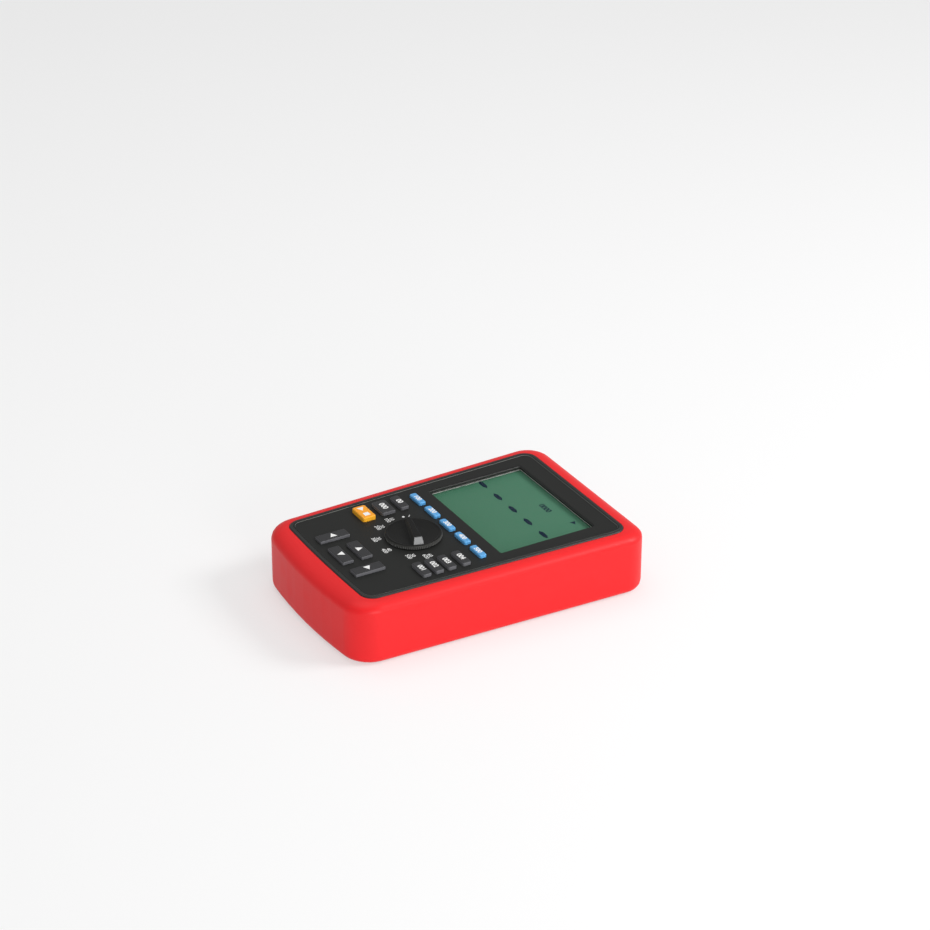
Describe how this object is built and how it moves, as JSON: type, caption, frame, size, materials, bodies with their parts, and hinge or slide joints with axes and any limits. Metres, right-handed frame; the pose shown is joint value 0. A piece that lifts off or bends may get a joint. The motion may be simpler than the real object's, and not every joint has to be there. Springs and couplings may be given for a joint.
{
  "type": "micro ohmmeter",
  "caption": "Hand-held micro ohmmeter in a red rubber boot, with a wide display, colored keys, arrow keys and a selector knob, lying on its back.",
  "frame": {"origin": "centre of the footprint on the table, with the meter on its back", "axes": "+X across the face to the right, +Y from the key end to the display end, +Z out of the face"},
  "size_m": [0.1546, 0.234, 0.0542],
  "materials": {
    "boot_rubber": "satin",
    "case_plastic": "fine texture",
    "seal_rubber": "matte",
    "printed_overlay": "satin print",
    "clear_lens": "clear",
    "display_glass": "satin",
    "display_ink": "matte",
    "white_plastic": "satin",
    "strip_rubber": "matte",
    "board_green": "gloss",
    "chip_resin": "matte",
    "mat_rubber": "matte",
    "orange_key_plastic": "satin",
    "gray_key_plastic": "satin",
    "blue_key_plastic": "satin",
    "dark_key_plastic": "satin",
    "knob_plastic": "satin",
    "marker_gray": "satin",
    "switch_plastic": "satin",
    "switch_dark": "satin",
    "contact_brass": "satin",
    "block_plastic": "fine texture",
    "red_plastic": "gloss",
    "black_plastic": "gloss",
    "port_steel": "satin",
    "board_blue": "gloss",
    "shunt_alloy": "satin",
    "fuse_glass": "clear",
    "relay_case": "gloss",
    "capacitor_sleeve": "gloss",
    "battery_wrap": "gloss",
    "screw_steel": "zinc",
    "stand_plastic": "fine texture"
  },
  "bodies": {
    "case": {"boot": "boot_rubber", "back_shell": "case_plastic", "front_cover": "case_plastic", "case_seal": "seal_rubber", "face_overlay": "printed_overlay", "window_lens": "clear_lens", "display_glass": "display_glass", "display_segments": "display_ink", "display_frame": "white_plastic", "contact_strips": "strip_rubber", "main_board": "board_green", "board_chips": "chip_resin", "keypad_mat": "mat_rubber", "switch_bush": "switch_dark", "detent_ring": "switch_dark", "switch_pads": "contact_brass", "terminal_block": "block_plastic", "red_sockets": "red_plastic", "black_sockets": "black_plastic", "socket_contacts": "contact_brass", "data_port": "port_steel", "data_port_tongue": "white_plastic", "supply_jack": "black_plastic", "power_board": "board_blue", "current_shunt": "shunt_alloy", "fuse": "fuse_glass", "fuse_clips": "contact_brass", "relays": "relay_case", "capacitors": "capacitor_sleeve", "buzzer": "black_plastic", "battery_pack": "battery_wrap", "battery_door": "case_plastic", "door_screws": "screw_steel", "case_screws": "screw_steel", "board_screws": "screw_steel", "power_board_screws": "screw_steel"},
    "knob": {"knob": "knob_plastic", "knob_marker": "marker_gray", "switch_spindle": "switch_plastic", "switch_rotor": "switch_plastic", "switch_wipers": "contact_brass"},
    "stand": {"tilt_stand": "stand_plastic", "stand_pads": "seal_rubber"},
    "orange_key_body": {"orange_key": "orange_key_plastic"},
    "left_key_1_body": {"left_key_1": "gray_key_plastic"},
    "left_key_2_body": {"left_key_2": "gray_key_plastic"},
    "right_key_1_body": {"right_key_1": "gray_key_plastic"},
    "right_key_2_body": {"right_key_2": "gray_key_plastic"},
    "right_key_3_body": {"right_key_3": "gray_key_plastic"},
    "right_key_4_body": {"right_key_4": "gray_key_plastic"},
    "blue_key_1_body": {"blue_key_1": "blue_key_plastic"},
    "blue_key_2_body": {"blue_key_2": "blue_key_plastic"},
    "blue_key_3_body": {"blue_key_3": "blue_key_plastic"},
    "blue_key_4_body": {"blue_key_4": "blue_key_plastic"},
    "blue_key_5_body": {"blue_key_5": "blue_key_plastic"},
    "arrow_up_key_body": {"arrow_up_key": "dark_key_plastic"},
    "arrow_down_key_body": {"arrow_down_key": "dark_key_plastic"},
    "arrow_left_key_body": {"arrow_left_key": "dark_key_plastic"},
    "arrow_right_key_body": {"arrow_right_key": "dark_key_plastic"}
  },
  "joints": [
    {"name": "knob_turn", "type": "hinge", "parent": "case", "child": "knob", "pos_m": [0, -0.0303, 0.047], "axis": [0, 0, 1], "range_deg": [0, 180]},
    {"name": "stand_swing", "type": "hinge", "parent": "case", "child": "stand", "pos_m": [0, 0.0715, 0.00275], "axis": [1, 0, 0], "range_deg": [0, 68]},
    {"name": "orange_key_press", "type": "slide", "parent": "case", "child": "orange_key_body", "axis": [0, 0, -1], "range_m": [0, 0.001], "stiffness_N_per_m": 400, "springref_m": -0.001},
    {"name": "left_key_1_press", "type": "slide", "parent": "case", "child": "left_key_1_body", "axis": [0, 0, -1], "range_m": [0, 0.001], "stiffness_N_per_m": 400, "springref_m": -0.001},
    {"name": "left_key_2_press", "type": "slide", "parent": "case", "child": "left_key_2_body", "axis": [0, 0, -1], "range_m": [0, 0.001], "stiffness_N_per_m": 400, "springref_m": -0.001},
    {"name": "right_key_1_press", "type": "slide", "parent": "case", "child": "right_key_1_body", "axis": [0, 0, -1], "range_m": [0, 0.001], "stiffness_N_per_m": 400, "springref_m": -0.001},
    {"name": "right_key_2_press", "type": "slide", "parent": "case", "child": "right_key_2_body", "axis": [0, 0, -1], "range_m": [0, 0.001], "stiffness_N_per_m": 400, "springref_m": -0.001},
    {"name": "right_key_3_press", "type": "slide", "parent": "case", "child": "right_key_3_body", "axis": [0, 0, -1], "range_m": [0, 0.001], "stiffness_N_per_m": 400, "springref_m": -0.001},
    {"name": "right_key_4_press", "type": "slide", "parent": "case", "child": "right_key_4_body", "axis": [0, 0, -1], "range_m": [0, 0.001], "stiffness_N_per_m": 400, "springref_m": -0.001},
    {"name": "blue_key_1_press", "type": "slide", "parent": "case", "child": "blue_key_1_body", "axis": [0, 0, -1], "range_m": [0, 0.001], "stiffness_N_per_m": 400, "springref_m": -0.001},
    {"name": "blue_key_2_press", "type": "slide", "parent": "case", "child": "blue_key_2_body", "axis": [0, 0, -1], "range_m": [0, 0.001], "stiffness_N_per_m": 400, "springref_m": -0.001},
    {"name": "blue_key_3_press", "type": "slide", "parent": "case", "child": "blue_key_3_body", "axis": [0, 0, -1], "range_m": [0, 0.001], "stiffness_N_per_m": 400, "springref_m": -0.001},
    {"name": "blue_key_4_press", "type": "slide", "parent": "case", "child": "blue_key_4_body", "axis": [0, 0, -1], "range_m": [0, 0.001], "stiffness_N_per_m": 400, "springref_m": -0.001},
    {"name": "blue_key_5_press", "type": "slide", "parent": "case", "child": "blue_key_5_body", "axis": [0, 0, -1], "range_m": [0, 0.001], "stiffness_N_per_m": 400, "springref_m": -0.001},
    {"name": "arrow_up_key_press", "type": "slide", "parent": "case", "child": "arrow_up_key_body", "axis": [0, 0, -1], "range_m": [0, 0.001], "stiffness_N_per_m": 400, "springref_m": -0.001},
    {"name": "arrow_down_key_press", "type": "slide", "parent": "case", "child": "arrow_down_key_body", "axis": [0, 0, -1], "range_m": [0, 0.001], "stiffness_N_per_m": 400, "springref_m": -0.001},
    {"name": "arrow_left_key_press", "type": "slide", "parent": "case", "child": "arrow_left_key_body", "axis": [0, 0, -1], "range_m": [0, 0.001], "stiffness_N_per_m": 400, "springref_m": -0.001},
    {"name": "arrow_right_key_press", "type": "slide", "parent": "case", "child": "arrow_right_key_body", "axis": [0, 0, -1], "range_m": [0, 0.001], "stiffness_N_per_m": 400, "springref_m": -0.001}
  ]
}
